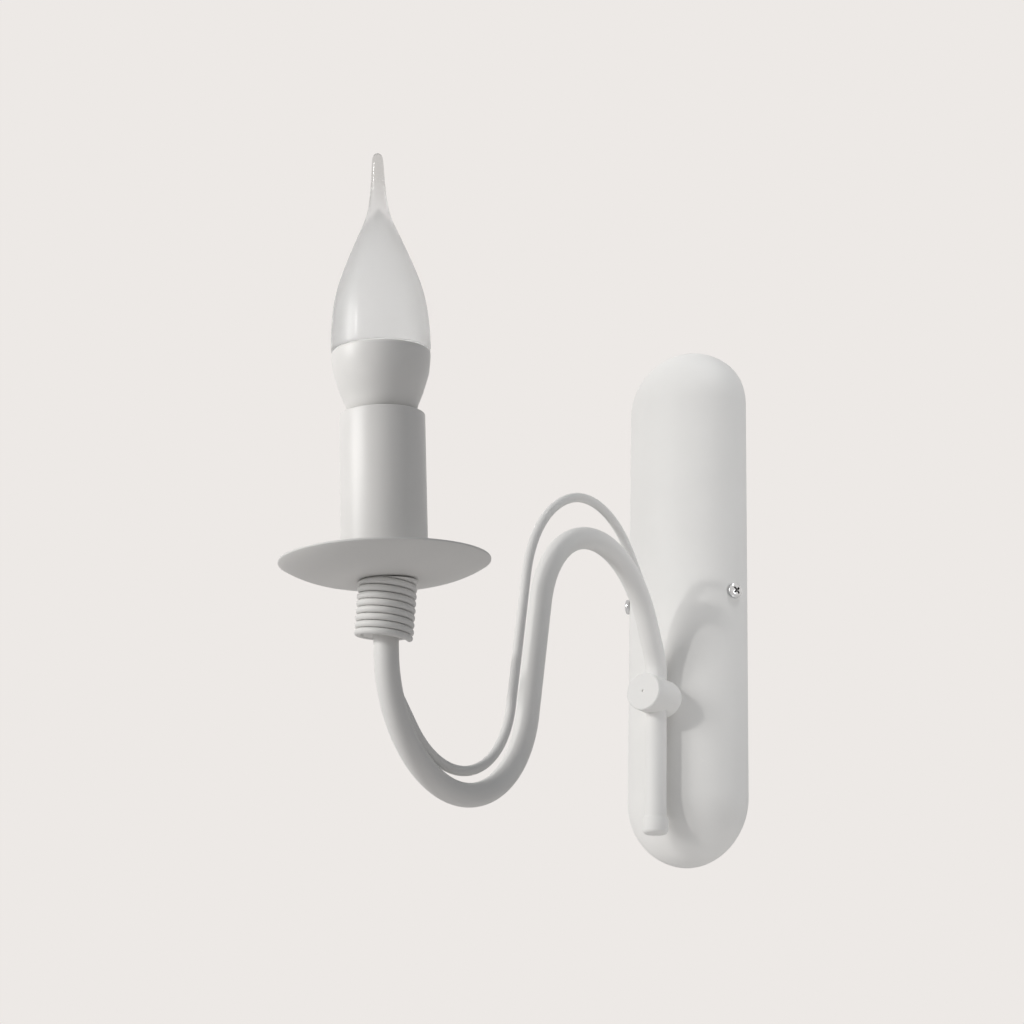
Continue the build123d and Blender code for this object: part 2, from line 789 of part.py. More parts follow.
with BuildPart() as bulb_screw_cap:
    with BuildSketch(candle.offset(cap_foot)):
        Circle(cap_radius)
        Circle(cap_radius - screw_cap_wall, mode=Mode.SUBTRACT)
    extrude(amount=screw_cap_height - fit_gap)
save(bulb_screw_cap.part, "bulb_screw_cap")

# Lamp housing: a cup that swells from the neck to the seam, with a ledge for the light board
lamp_radius = lamp_diameter / 2
neck_radius = lamp_neck_diameter / 2
waist_radius = lamp_waist_diameter / 2
seam = flange + lamp_housing_height
waist = flange + lamp_waist_rise
swell = 0.5 * (waist_radius + lamp_radius)
swell_height = waist + 0.38 * (seam - waist)
neck_bore = cap_radius - screw_cap_wall
board_bottom = seam - led_board_drop - led_board_thickness
board_radius = lamp_radius - lamp_housing_wall
ledge_radius = board_radius - led_ledge
with BuildPart() as bulb_housing:
    with BuildSketch(candle_section):
        with BuildLine():
            Polyline((neck_bore, flange), (neck_radius, flange), (waist_radius, waist))
            Spline(
                (waist_radius, waist),
                (swell, swell_height),
                (lamp_radius, seam),
                tangents=((0.1, 1), (0, 1)),
            )
            Polyline(
                (lamp_radius, seam),
                (board_radius, seam),
                (board_radius, board_bottom),
                (ledge_radius, board_bottom),
            )
            Spline(
                (ledge_radius, board_bottom),
                (swell - lamp_housing_wall, swell_height + lamp_housing_wall / 2),
                (waist_radius - lamp_housing_wall, waist + lamp_housing_wall / 2),
            )
            Polyline(
                (waist_radius - lamp_housing_wall, waist + lamp_housing_wall / 2),
                (neck_bore, flange + lamp_housing_wall),
                (neck_bore, flange),
            )
        make_face()
    revolve(axis=candle_axis)
save(bulb_housing.part, "bulb_housing")

# Blown flame glass with a solid drawn tip
tip_radius = flame_tip_diameter / 2
glass_foot = seam + fit_gap
glass_inner = lamp_radius - glass_wall
flame_top = seam + flame_height
with BuildPart() as bulb_glass:
    with BuildSketch(candle_section):
        with BuildLine():
            Spline(
                (lamp_radius, glass_foot),
                (0.963 * lamp_radius, seam + 0.197 * flame_height),
                (0.675 * lamp_radius, seam + 0.439 * flame_height),
                (0.382 * lamp_radius, seam + 0.601 * flame_height),
                (0.199 * lamp_radius, seam + 0.721 * flame_height),
                (tip_radius, flame_top - tip_radius),
                tangents=((0, 1), (0, 1)),
            )
            CenterArc((0, flame_top - tip_radius), tip_radius, 0, 90)
            Line((0, flame_top), (0, seam + 0.68 * flame_height))
            Spline(
                (0, seam + 0.68 * flame_height),
                (0.330 * glass_inner, seam + 0.600 * flame_height),
                (0.655 * glass_inner, seam + 0.432 * flame_height),
                (0.960 * glass_inner, seam + 0.197 * flame_height),
                (glass_inner, glass_foot),
                tangents=((1, -0.7), (0, -1)),
            )
            Line((glass_inner, glass_foot), (lamp_radius, glass_foot))
        make_face()
    revolve(axis=candle_axis)
save(bulb_glass.part, "bulb_glass")

# Light board with a ring of chips, and the driver board under it
board_foot = board_bottom + fit_gap
with BuildPart() as led_board:
    with BuildSketch(candle.offset(board_foot)):
        Circle(board_radius - fit_gap)
    extrude(amount=led_board_thickness)
save(led_board.part, "led_board")

chip_foot = board_foot + led_board_thickness + fit_gap
with BuildPart() as led_chips:
    with BuildSketch(candle.offset(chip_foot)):
        with PolarLocations(chip_ring_diameter / 2, chip_count):
            Rectangle(chip_size, chip_size)
    extrude(amount=chip_thickness)
save(led_chips.part, "led_chips")

with BuildPart() as driver_board:
    with BuildSketch(candle.offset(board_foot - fit_gap)):
        Rectangle(driver_width, driver_thickness)
    extrude(amount=-driver_height)
save(driver_board.part, "driver_board")

for name, point in (
    ("dip end", candle_foot),
    ("candle axis", candle_up),
    ("arch centre", in_arm(arch_centre)),
    ("dip centre", in_arm(dip_centre)),
):
    print(name, tuple(round(value, 4) for value in point))
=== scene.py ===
"""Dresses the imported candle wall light: finishes, finer visible pieces, studio, camera."""

import json
from math import asin, atan2, cos, pi, radians, sin

import bmesh
import bpy
from mathutils import Matrix, Vector


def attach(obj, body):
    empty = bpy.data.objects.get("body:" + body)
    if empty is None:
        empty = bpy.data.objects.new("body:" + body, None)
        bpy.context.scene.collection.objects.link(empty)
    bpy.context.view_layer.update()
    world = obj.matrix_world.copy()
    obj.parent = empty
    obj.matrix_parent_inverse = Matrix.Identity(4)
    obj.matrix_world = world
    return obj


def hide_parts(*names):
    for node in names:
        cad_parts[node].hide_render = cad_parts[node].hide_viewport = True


bl_info = {
    "name": "Candle wall light",
    "version": (1, 0, 0),
    "blender": (4, 5, 0),
    "location": "3D View > Sidebar > Candle light",
    "description": "Dresses the candle wall light's frame with finishes, finer pieces and a studio",
    "category": "Object",
}

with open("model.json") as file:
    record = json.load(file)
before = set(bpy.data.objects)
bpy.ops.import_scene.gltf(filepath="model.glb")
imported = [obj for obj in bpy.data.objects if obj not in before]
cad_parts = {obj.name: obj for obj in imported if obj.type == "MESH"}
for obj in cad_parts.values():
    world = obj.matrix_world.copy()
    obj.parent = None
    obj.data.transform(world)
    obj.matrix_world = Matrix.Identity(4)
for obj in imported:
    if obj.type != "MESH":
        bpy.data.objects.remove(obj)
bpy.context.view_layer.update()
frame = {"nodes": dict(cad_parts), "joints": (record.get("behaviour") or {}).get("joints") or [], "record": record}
SLOT_OF = {row["node"]: row["material_slot"] for row in frame["record"]["subparts"]}
LAMP_JOINT = next(joint for joint in frame["joints"] if joint["name"] == "bulb_turn")
ARM_JOINT = next(joint for joint in frame["joints"] if joint["name"] == "arm_swivel")
MM = 0.001
# Points closer than this many metres are one point.
SAME_POINT = 1e-6
# Most of a noise's values lie between these two.
NOISE_LOW, NOISE_HIGH = 0.3, 0.7
# Height of the finest bumps of a finish.
FINE_BUMP = 0.2 * MM
# Share of a sheet's thickness over which its rim is rounded.
RIM_SHARE = 0.3
# Sockets of a Mix node that mixes colours.
MIX_FIRST, MIX_SECOND, MIX_RESULT = 6, 7, 2


def length(label, words, millimetres):
    """A length that a user can change, given here in millimetres."""
    return bpy.props.FloatProperty(name=label, description=words, default=millimetres * MM, unit="LENGTH")


def angle(label, words, degrees):
    """An angle that a user can change, given here in degrees."""
    return bpy.props.FloatProperty(name=label, description=words, default=radians(degrees), unit="ROTATION")


def colour(label, words, value):
    """A linear colour that a user can change."""
    return bpy.props.FloatVectorProperty(
        name=label, description=words, default=value, subtype="COLOR", size=3, min=0.0, max=1.0
    )


def strength(label, words, value):
    """A light's strength that a user can change."""
    return bpy.props.FloatProperty(name=label, description=words, default=value, min=0.0)


class CoverSizes(bpy.types.PropertyGroup):
    """Sizes of the wall cover."""

    width: length("Width", "Width of the pill on the wall", 58.0)
    height: length("Height", "Height of the pill on the wall", 242.0)
    depth: length("Depth", "How far the crown stands off the wall", 24.0)
    flank: length("Flank", "Straight edge next to the wall", 1.0)
    wall: length("Sheet", "Thickness of the pressed sheet", 1.2)
    screw_out: length("Screw distance", "Distance of the side screws from the wall", 9.0)
    screw_head: length("Screw head", "How far the side screws' heads stand proud", 2.25)
    # The recess's reach and depth place the painted shade in the side screws' cross recesses.
    recess_reach: length("Recess reach", "Reach of the cross recess from the screw's axis", 2.0)
    recess_depth: length("Recess depth", "Depth below the head's top at which the recess turns dark", 0.5)


class ArmSizes(bpy.types.PropertyGroup):
    """Sizes of the bent arm, the cap on its foot and its accent wire."""

    tube: length("Tube", "Diameter of the arm's tube", 9.5)
    foot: length("Foot", "How far below the centre the leg ends", 109.4)
    leg: length("Leg", "Length of the straight leg", 68.5)
    kick_radius: length("Kick radius", "Radius of the small bend over the boss", 25.0)
    kick: angle("Kick", "Turn of the small bend over the boss", 27.2)
    lead: length("Lead", "Straight between the small bend and the arch", 14.2)
    arch_radius: length("Arch radius", "Radius of the arch", 45.25)
    arch: angle("Arch", "Turn of the arch", 144.0)
    fall: length("Fall", "Straight run that falls from the arch", 49.3)
    dip_radius: length("Dip radius", "Radius of the dip under the candle", 48.3)
    tail: length("Tail", "Straight end inside the collar", 14.0)
    cap: length("End cap", "Diameter of the cap on the leg's foot", 11.3)
    cap_floor: length("Cap floor", "Thickness of the cap under the leg", 1.6)
    cap_height: length("Cap height", "Height of the cap on the leg's foot", 7.1)
    wire: length("Accent wire", "Diameter of the accent wire", 4.0)
    wire_root_radius: length("Root radius", "Radius of the bend that brings the wire out of the tube", 20.0)
    wire_root: angle("Root", "Turn of the bend that brings the wire out of the tube", 42.0)
    wire_sink: length("Sink", "Distance of wire and tube where the wire leaves the arch", 5.14)
    wire_leave: angle("Leave", "Heading at which the wire leaves the arch", 40.8)
    wire_rise: length("Rise", "Straight rise where the wire leaves the arch", 18.8)
    wire_arch_radius: length("Wire arch radius", "Radius of the first part of the wire's arch", 42.3)
    wire_shift: angle("Shift", "Heading at which the wire's arch changes its radius", 113.3)
    wire_spacing: length("Spacing", "Distance of wire and tube on the falling run", 12.15)
    wire_dip_radius: length("Wire dip radius", "Radius of the wire's lower bend", 38.65)
    wire_lift: length("Wire lift", "Height of the wire's lowest point over the tube's", 8.77)
    wire_end: angle("Wire end", "Heading at which the wire runs straight into the tube", 45.0)
    wire_land: length("Wire landing", "Length of the straight that runs into the tube", 24.0)


class CandleSizes(bpy.types.PropertyGroup):
    """Sizes of the collar, plate and sleeve, measured up the candle."""

    coil_outer: length("Coil outside", "Outside diameter of the coil collar", 22.4)
    coil_wire: length("Coil wire", "Diameter of the coil's wire", 2.55)
    coil_pitch: length("Coil pitch", "Rise of the coil in one turn", 2.72)
    coil_turns: bpy.props.FloatProperty(
        name="Coil turns", description="Turns that are wound before the top is ground flat", default=8.3
    )
    coil_tilt: angle("Coil tilt", "How far the coil sits askew on the tube", 5.5)
    coil_face: length("Coil face", "Height at which the coil's top is ground flat", 27.2)
    coil_start: length("Coil start", "Height of the coil's lowest edge", 4.85)
    coil_begin: angle("Coil begin", "Place of the coil's lower end round the candle", 25.0)
    plate: length("Plate", "Diameter of the drip plate", 80.0)
    plate_sheet: length("Plate sheet", "Thickness of the drip plate", 0.8)
    plate_flat: length("Plate flat", "Radius of the plate's flat middle", 17.0)
    plate_rise: length("Plate rise", "How far the rim stands above the middle", 6.8)
    plate_height: length("Plate height", "Height of the plate's underside", 28.0)
    plate_hole: length("Plate hole", "Radius of the hole for the nipple", 5.15)
    sleeve: length("Sleeve", "Diameter of the candle sleeve", 32.8)
    sleeve_wall: length("Sleeve wall", "Thickness of the candle sleeve", 1.2)
    sleeve_height: length("Sleeve foot", "Height of the sleeve's lower edge", 28.85)
    sleeve_length: length("Sleeve length", "Length of the candle sleeve", 63.15)


class LampSizes(bpy.types.PropertyGroup):
    """Sizes of the flame lamp, measured up the candle."""

    seam: length("Seam", "Height of the seam between cup and glass", 116.8)
    flame: length("Flame", "Height of the glass above the seam", 81.8)
    glass_wall: length("Glass wall", "Thickness of the glass", 1.0)
    cap_radius: length("Cap radius", "Radius of the screw cap at the foot of its thread", 6.35)
    cap_crest: length("Cap crest", "Radius of the screw cap at its crests", 6.85)
    cap_foot: length("Cap foot", "Height of the cap's lower edge", 66.6)
    cap_top: length("Cap top", "Height of the cap's upper edge", 87.76)
    thread_pitch: length("Thread pitch", "Rise of the cap's thread in one turn", 2.82)


class Finishes(bpy.types.PropertyGroup):
    """Colours of the finishes."""

    paint: colour("Paint", "Satin white paint on the metal", (0.80, 0.793, 0.777))
    sleeve: colour("Sleeve", "White of the candle sleeve", (0.86, 0.848, 0.828))
    glass: colour("Glass", "Frosted white of the lamp's glass", (0.93, 0.94, 0.945))
    cup: colour("Cup", "White of the lamp's lower cup", (0.88, 0.87, 0.85))
    background: colour("Background", "Pale ground behind the object", (0.847, 0.815, 0.791))


class StageSettings(bpy.types.PropertyGroup):
    """Camera, light and floor."""

    lens: bpy.props.FloatProperty(
        name="Lens", description="Focal length on a 36 mm sensor", default=84.435, unit="CAMERA"
    )
    eye: bpy.props.FloatVectorProperty(
        name="Eye",
        description="Where the camera stands",
        default=(0.5224, -0.9195, -0.3025),
        subtype="TRANSLATION",
    )
    floor: length("Floor", "Height of the floor", -480.0)
    key: strength("Key", "Strength of the soft key light", 1.52)
    front: strength("Front", "Strength of the crisp light that throws the arm's shadow", 0.62)
    fill: strength("Fill", "Strength of the even light from all sides", 0.22)
    side: strength("Side", "Strength of the soft light on the cover's right flank", 3.6)
    over: strength("Over", "Strength of the soft light on the cover's upper end", 4.6)
    heel: strength("Heel", "Strength of the soft light on the cover's lower end", 0.9)
    under: strength("Under", "Strength of the soft light from below", 0.35)


class Signal:
    """A shader socket whose sums and products add the nodes that work them out."""

    def __init__(self, tree, socket):
        self.tree = tree
        self.socket = socket

    @classmethod
    def node(cls, tree, kind, settings=None, sockets=None, output=0):
        """Add one node: its settings first, then the values or links of its sockets.

        It gives one of the node's outputs, or nothing if the node has none.
        """
        made = tree.nodes.new(kind)
        for key, value in (settings or {}).items():
            setattr(made, key, value)
        for key, value in (sockets or {}).items():
            if isinstance(value, Signal):
                tree.links.new(value.socket, made.inputs[key])
            else:
                made.inputs[key].default_value = value
        return cls(tree, made.outputs[output]) if made.outputs else None

    def _maths(self, operation, first, second):
        return Signal.node(self.tree, "ShaderNodeMath", {"operation": operation}, {0: first, 1: second})

    def __add__(self, other):
        return self._maths("ADD", self, other)

    def __radd__(self, other):
        return self._maths("ADD", other, self)

    def __sub__(self, other):
        return self._maths("SUBTRACT", self, other)

    def __rsub__(self, other):
        return self._maths("SUBTRACT", other, self)

    def __mul__(self, other):
        return self._maths("MULTIPLY", self, other)

    def __rmul__(self, other):
        return self._maths("MULTIPLY", other, self)

    def __abs__(self):
        return self._maths("ABSOLUTE", self, 0.0)

    def clamped(self, low, high):
        """This value mapped from low..high to 0..1."""
        spread = {"Value": self, "From Min": low, "From Max": high}
        return Signal.node(self.tree, "ShaderNodeMapRange", {"clamp": True}, spread)


def blank_finish(name):
    """A new material with an empty node tree, and its tree."""
    material = bpy.data.materials.new(name)
    material.use_nodes = True
    material.node_tree.nodes.clear()
    return material, material.node_tree


def coordinates(tree, axes):
    """The piece's own coordinates in metres, one value for each of these axes."""
    place = Signal.node(tree, "ShaderNodeTexCoord", output="Object")
    return [Signal.node(tree, "ShaderNodeSeparateXYZ", None, {"Vector": place}, axis) for axis in axes]


def grain(tree, scale, detail=2.0, roughness=0.5):
    """Noise of this scale on the piece's own coordinates, in metres."""
    place = Signal.node(tree, "ShaderNodeTexCoord", output="Object")
    return Signal.node(
        tree,
        "ShaderNodeTexNoise",
        {"noise_dimensions": "3D"},
        {"Vector": place, "Scale": scale, "Detail": detail, "Roughness": roughness},
    )


def around(value, noise, swing):
    """This value, swung up and down by noise."""
    return noise * swing + (value - swing / 2)


def mixed(tree, factor, first, second):
    """The first colour where factor is 0 and the second where it is 1."""
    sockets = {"Factor": factor, MIX_FIRST: first, MIX_SECOND: second}
    return Signal.node(tree, "ShaderNodeMix", {"data_type": "RGBA"}, sockets, MIX_RESULT)


def tinted(tree, shade, start, end, factor):
    """The colour shade, from start to end times its brightness as factor goes from 0 to 1."""
    first, second = [(*[channel * part for channel in shade], 1.0) for part in (start, end)]
    return mixed(tree, factor, first, second)


def clouded(tree, shade, low, high, noise):
    """The colour shade, from low to high times its brightness where noise is low or high."""
    return tinted(tree, shade, low, high, noise.clamped(NOISE_LOW, NOISE_HIGH))


def principled(tree, sockets):
    """A Principled shader with these sockets."""
    return Signal.node(tree, "ShaderNodeBsdfPrincipled", None, sockets)


def blended(tree, factor, first, second):
    """The first shader where factor is 0 and the second where it is 1."""
    return Signal.node(tree, "ShaderNodeMixShader", None, {0: factor, 1: first, 2: second})


def surface(tree, shader, output="ShaderNodeOutputMaterial"):
    """Send this shader to the output of a material, or to another kind of output."""
    Signal.node(tree, output, None, {"Surface": shader})


def bumped(tree, height, amount, distance):
    """A normal roughened by this height."""
    sockets = {"Height": height, "Strength": amount, "Distance": distance}
    return Signal.node(tree, "ShaderNodeBump", None, sockets)


def seen_directly(tree):
    """1 where the camera, gloss or glass looks, 0 for the light that falls on the object."""
    rays = ("Is Camera Ray", "Is Glossy Ray", "Is Transmission Ray")
    camera, glossy, through = [Signal.node(tree, "ShaderNodeLightPath", output=ray) for ray in rays]
    return (camera + glossy + through).clamped(0.0, 1.0)


def paint_finish(name, shade, roughness, peel, gloss):
    """Sprayed satin paint: faint orange peel, cloudy gloss and a trace of shade where the coat is thin."""
    material, tree = blank_finish(name)
    cloud = grain(tree, scale=28.0, detail=3.0)
    dimples = grain(tree, scale=620.0)
    specks = grain(tree, scale=2600.0, detail=1.0)
    height = dimples * 0.8 + specks * 0.2
    shader = principled(
        tree,
        {
            "Base Color": clouded(tree, shade, 0.972, 1.015, cloud),
            "Roughness": around(roughness, cloud, 0.10) + around(0.0, dimples, 0.06),
            "Specular IOR Level": gloss,
            "Normal": bumped(tree, height, peel, FINE_BUMP),
        },
    )
    surface(tree, shader)
    return material


def plastic_finish(name, shade, roughness, coat=0.0):
    """Moulded plastic with faint flow clouds and a fine grain."""
    material, tree = blank_finish(name)
    flow = grain(tree, scale=60.0)
    pores = grain(tree, scale=1800.0, detail=1.0)
    shader = principled(
        tree,
        {
            "Base Color": clouded(tree, shade, 0.97, 1.02, flow),
            "Roughness": around(roughness, flow, 0.08),
            "Coat Weight": coat,
            "Coat Roughness": 0.08,
            "Normal": bumped(tree, pores, 0.05, FINE_BUMP),
        },
    )
    surface(tree, shader)
    return material


def painted_recess_shade(tree, cover):
    """Mask of the painted shade in the two side screws' cross recesses: 1 in the recesses, 0 elsewhere."""
    x, y, z = coordinates(tree, "XYZ")
    half = cover.width / 2
    crown = cover.depth - cover.flank
    lift = asin((cover.screw_out - cover.flank) / crown)
    side = half * cos(lift)
    # The screw's axis is square to the cover's flank; both screws are folded onto the right one.
    out = Vector((cos(lift) / half, sin(lift) / crown)).normalized()
    along = abs(x) * out.x - y * out.y
    across = abs(x) * out.y + y * out.x
    head_top = side * out.x + cover.screw_out * out.y + cover.screw_head
    aside = across - (side * out.y - cover.screw_out * out.x)
    spread = aside * aside + z * z
    # The painted shade ends softly: within a twentieth of its reach and a tenth of its depth.
    reach = cover.recess_reach
    depth = cover.recess_depth
    inside = 1.0 - spread.clamped((0.95 * reach) ** 2, (1.05 * reach) ** 2)
    deep = 1.0 - along.clamped(head_top - 1.1 * depth, head_top - 0.9 * depth)
    return inside * deep


def metal_finish(name, shade, roughness, grain_scale, cover=None):
    """Metal with a fine turned grain and handling marks; with a cover, its screws' recesses get painted shade."""
    material, tree = blank_finish(name)
    marks = grain(tree, scale=grain_scale, detail=4.0, roughness=0.6)
    haze = grain(tree, scale=90.0)
    base = clouded(tree, shade, 0.86, 1.04, haze)
    if cover:
        # The screws' cross recesses are painted near black as shade.
        recess_shade_colour = (0.03, 0.03, 0.03, 1.0)
        base = mixed(tree, painted_recess_shade(tree, cover), base, recess_shade_colour)
    shader = principled(
        tree,
        {
            "Base Color": base,
            "Metallic": 1.0,
            "Roughness": around(roughness, marks, 0.16),
            "Normal": bumped(tree, marks, 0.08, FINE_BUMP),
        },
    )
    surface(tree, shader)
    return material


def flame_finish(name, shade, seam, top):
    """Frosted white glass that turns clear in the drawn tip."""
    material, tree = blank_finish(name)
    [height] = coordinates(tree, "Z")
    rise = height.clamped(seam, top)
    # Shares of the glass's height between which the neck darkens and the tip turns clear.
    neck = rise.clamped(0.45, 0.72)
    drawn = rise.clamped(0.66, 0.94)
    eased = drawn * drawn * (3.0 - drawn * 2.0)
    ripple = grain(tree, scale=55.0)
    waves = bumped(tree, ripple, 0.04, 0.6 * MM)
    frost = principled(
        tree,
        {
            "Base Color": tinted(tree, shade, 1.0, 0.90, neck * 0.9 + ripple * 0.1),
            "Roughness": around(0.47, ripple, 0.10),
            "Transmission Weight": 0.95,
            "IOR": 1.3,
            "Coat Weight": 0.15,
            "Coat Roughness": 0.18,
            "Normal": waves,
        },
    )
    clear = principled(
        tree,
        {
            "Base Color": (0.68, 0.68, 0.675, 1.0),
            "Roughness": 0.09,
            "Transmission Weight": 0.97,
            "IOR": 1.46,
            "Normal": waves,
        },
    )
    surface(tree, blended(tree, eased, frost, clear))
    return material


def candle_place():
    """Matrix from the candle's own frame, foot at the lamp's joint and Z up the candle, to the object's."""
    up = Vector(LAMP_JOINT["axis"]).normalized()
    lean = Vector((0, 0, 1)).rotation_difference(up).to_matrix().to_4x4()
    return Matrix.Translation(LAMP_JOINT["pos_m"]) @ lean


def make_finishes(finishes, lamp, cover):
    """One material for each of the record's slots."""
    candle = candle_place()
    seam = (candle @ Vector((0, 0, lamp.seam))).z
    top = (candle @ Vector((0, 0, lamp.seam + lamp.flame))).z
    # Slot, name and colour, then roughness, peel and gloss.
    paints = (
        ("white_paint", "satin_white_paint", finishes.paint, 0.55, 0.10, 0.3),
        ("sleeve_white", "sleeve_satin_white", finishes.sleeve, 0.38, 0.05, 0.45),
    )
    # Slot, name and colour, then roughness, and the coat where there is one.
    plastics = (
        ("housing_white", "lamp_cup_white", finishes.cup, 0.42, 0.08),
        ("holder_plastic", "holder_white", (0.74, 0.73, 0.71), 0.5),
        ("block_plastic", "terminal_block_white", (0.72, 0.72, 0.70), 0.55),
        ("insulator_black", "cap_insulator_black", (0.02, 0.02, 0.021), 0.35),
        ("board", "circuit_board_white", (0.70, 0.72, 0.70), 0.5),
        ("chip_yellow", "light_chip_yellow", (0.80, 0.62, 0.12), 0.4),
    )
    # Slot, name and colour, then roughness and scale of the grain, and the cover whose screws get painted shade in
    # their recesses.
    metals = (
        ("zinc", "bright_zinc", (0.60, 0.61, 0.62), 0.36, 900.0),
        ("chrome_screw", "plated_screw", (0.66, 0.67, 0.68), 0.20, 1400.0, cover),
        ("brass", "plain_brass", (0.76, 0.58, 0.27), 0.34, 900.0),
        ("cap_metal", "nickelled_cap", (0.74, 0.73, 0.71), 0.26, 1200.0),
    )
    made = {}
    for finish, rows in ((paint_finish, paints), (plastic_finish, plastics), (metal_finish, metals)):
        for slot, *look in rows:
            made[slot] = finish(*look)
    made["frosted_glass"] = flame_finish("frosted_flame_glass", finishes.glass, seam, top)
    return made


def finish_of(slot):
    """The material made for this slot of the record."""
    names = bpy.context.scene.candle_finish_names
    return bpy.data.materials[json.loads(names)[slot]]


def settle(bm, name, slot, body, nodes, sharp=35.0, rounded=False):
    """Make a piece of a finished bmesh, with its finish, its body and the nodes it stands for."""
    if not bm.faces:
        raise RuntimeError(name + " came out empty")
    bmesh.ops.remove_doubles(bm, verts=bm.verts, dist=SAME_POINT)
    bmesh.ops.recalc_face_normals(bm, faces=bm.faces)
    mesh = bpy.data.meshes.new(name)
    bm.to_mesh(mesh)
    bm.free()
    for polygon in mesh.polygons:
        polygon.use_smooth = True
    mesh.set_sharp_from_angle(angle=radians(sharp))
    mesh.materials.append(finish_of(slot))
    piece = bpy.data.objects.new(name, mesh)
    bpy.context.scene.collection.objects.link(piece)
    if rounded:
        rounding = piece.modifiers.new("rounding", "SUBSURF")
        rounding.levels = 2
        rounding.render_levels = 2
    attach(piece, body)
    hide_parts(*nodes)


def whole(bm):
    """All of a bmesh, as its operators take it."""
    return bm.verts[:] + bm.edges[:] + bm.faces[:]


def corners(parts):
    """The vertices among what an operator made."""
    return [part for part in parts if isinstance(part, bmesh.types.BMVert)]


def edges_in(parts):
    """The edges among what an operator made."""
    return [part for part in parts if isinstance(part, bmesh.types.BMEdge)]


def disc(bm, radius, place, segments):
    """Add a filled circle and give the ring of edges round it."""
    made = bmesh.ops.create_circle(bm, cap_ends=False, radius=radius, segments=segments, matrix=place)
    ring = list(dict.fromkeys(edge for vert in made["verts"] for edge in vert.link_edges))
    bmesh.ops.edgeloop_fill(bm, edges=ring)
    return ring


def ring_corners(ring):
    """The vertices of a ring of edges, each once."""
    return list(dict.fromkeys(vert for edge in ring for vert in edge.verts))


def chain(bm, points, closed=False):
    """A line of edges through these points."""
    verts = [bm.verts.new(point) for point in points]
    pairs = list(zip(verts, verts[1:]))
    if closed:
        pairs.append((verts[-1], verts[0]))
    return verts + [bm.edges.new(pair) for pair in pairs]


def lathe(bm, outline, closed, segments):
    """Spin an outline of (radius, height) pairs once round Z."""
    line = chain(bm, [(radius, 0, height) for radius, height in outline], closed)
    bmesh.ops.spin(
        bm, geom=line, cent=(0, 0, 0), axis=(0, 0, 1), angle=2 * pi, steps=segments, use_merge=True
    )


def turned(outline, closed, segments):
    """A new bmesh lathed from an outline of (radius, height) pairs."""
    bm = bmesh.new()
    lathe(bm, outline, closed, segments)
    bmesh.ops.remove_doubles(bm, verts=bm.verts, dist=SAME_POINT)
    return bm


def runs_round(edge):
    """Whether this edge of a lathed shape runs round its axis."""
    first, second = [vert.co for vert in edge.verts]
    level = abs(first.z - second.z) < SAME_POINT
    return level and abs(first.xy.length - second.xy.length) < SAME_POINT


def soften(bm, edges, sheet):
    """Round these edges of a sheet of this thickness."""
    bmesh.ops.bevel(
        bm,
        geom=edges,
        offset=RIM_SHARE * sheet,
        offset_type="OFFSET",
        affect="EDGES",
        segments=3,
        profile=0.5,
        material=-1,
    )


def put_on_candle(bm):
    """Move a shape from the candle's own frame to its place on the arm."""
    bmesh.ops.transform(bm, matrix=candle_place(), verts=bm.verts)


def heading_step(heading):
    """World step of one metre on this heading in the arm's plane, measured from up towards the room."""
    return Vector((0, -sin(heading), cos(heading)))


def centre_step(heading):
    """World step of one metre from the line towards the centre of a bend that turns towards the room."""
    return Vector((0, -cos(heading), -sin(heading)))


def leg_foot(arm):
    """The middle of the leg's lower end."""
    return Vector((0, ARM_JOINT["pos_m"][1], -arm.foot))


def bent_rod(start, heading, radius, moves, segments):
    """A closed round rod: runs are extruded and bends are spun, one after the other.

    A move is (length, None, None) for a run and (None, radius, turn) for a bend.
    """
    bm = bmesh.new()
    # A bend has one step for each of these angles, and at least six.
    step_angle = radians(3.0)
    least_steps = 6
    place = Matrix.Translation(start) @ Matrix.Rotation(heading, 4, "X")
    ring = disc(bm, radius, place, segments)
    point = Vector(start)
    for run, bend_radius, turn in moves:
        if bend_radius is None:
            step = heading_step(heading) * run
            grown = bmesh.ops.extrude_edge_only(bm, edges=ring)["geom"]
            bmesh.ops.translate(bm, vec=step, verts=corners(grown))
            ring = [edge for edge in edges_in(grown) if edge.is_boundary]
            point = point + step
        else:
            side = 1 if turn > 0 else -1
            centre = point + centre_step(heading) * (side * bend_radius)
            steps = max(least_steps, int(abs(turn) / step_angle))
            ends = ring + ring_corners(ring)
            spun = bmesh.ops.spin(
                bm, geom=ends, cent=centre, axis=(1, 0, 0), angle=turn, steps=steps, use_merge=False
            )
            ring = edges_in(spun["geom_last"])
            heading = heading + turn
            point = centre - centre_step(heading) * (side * bend_radius)
    bmesh.ops.edgeloop_fill(bm, edges=ring)
    return bm


class CANDLE_OT_finishes(bpy.types.Operator):
    """Make the finishes and put them on the frame's own pieces"""

    bl_idname = "candle_light.finishes"
    bl_label = "Finishes"

    def execute(self, context):
        scene = context.scene
        made = make_finishes(scene.candle_finishes, scene.candle_lamp, scene.candle_cover)
        scene.candle_finish_names = json.dumps({slot: material.name for slot, material in made.items()})
        for node, piece in frame["nodes"].items():
            piece.data.materials.clear()
            piece.data.materials.append(made[SLOT_OF[node]])
        return {"FINISHED"}


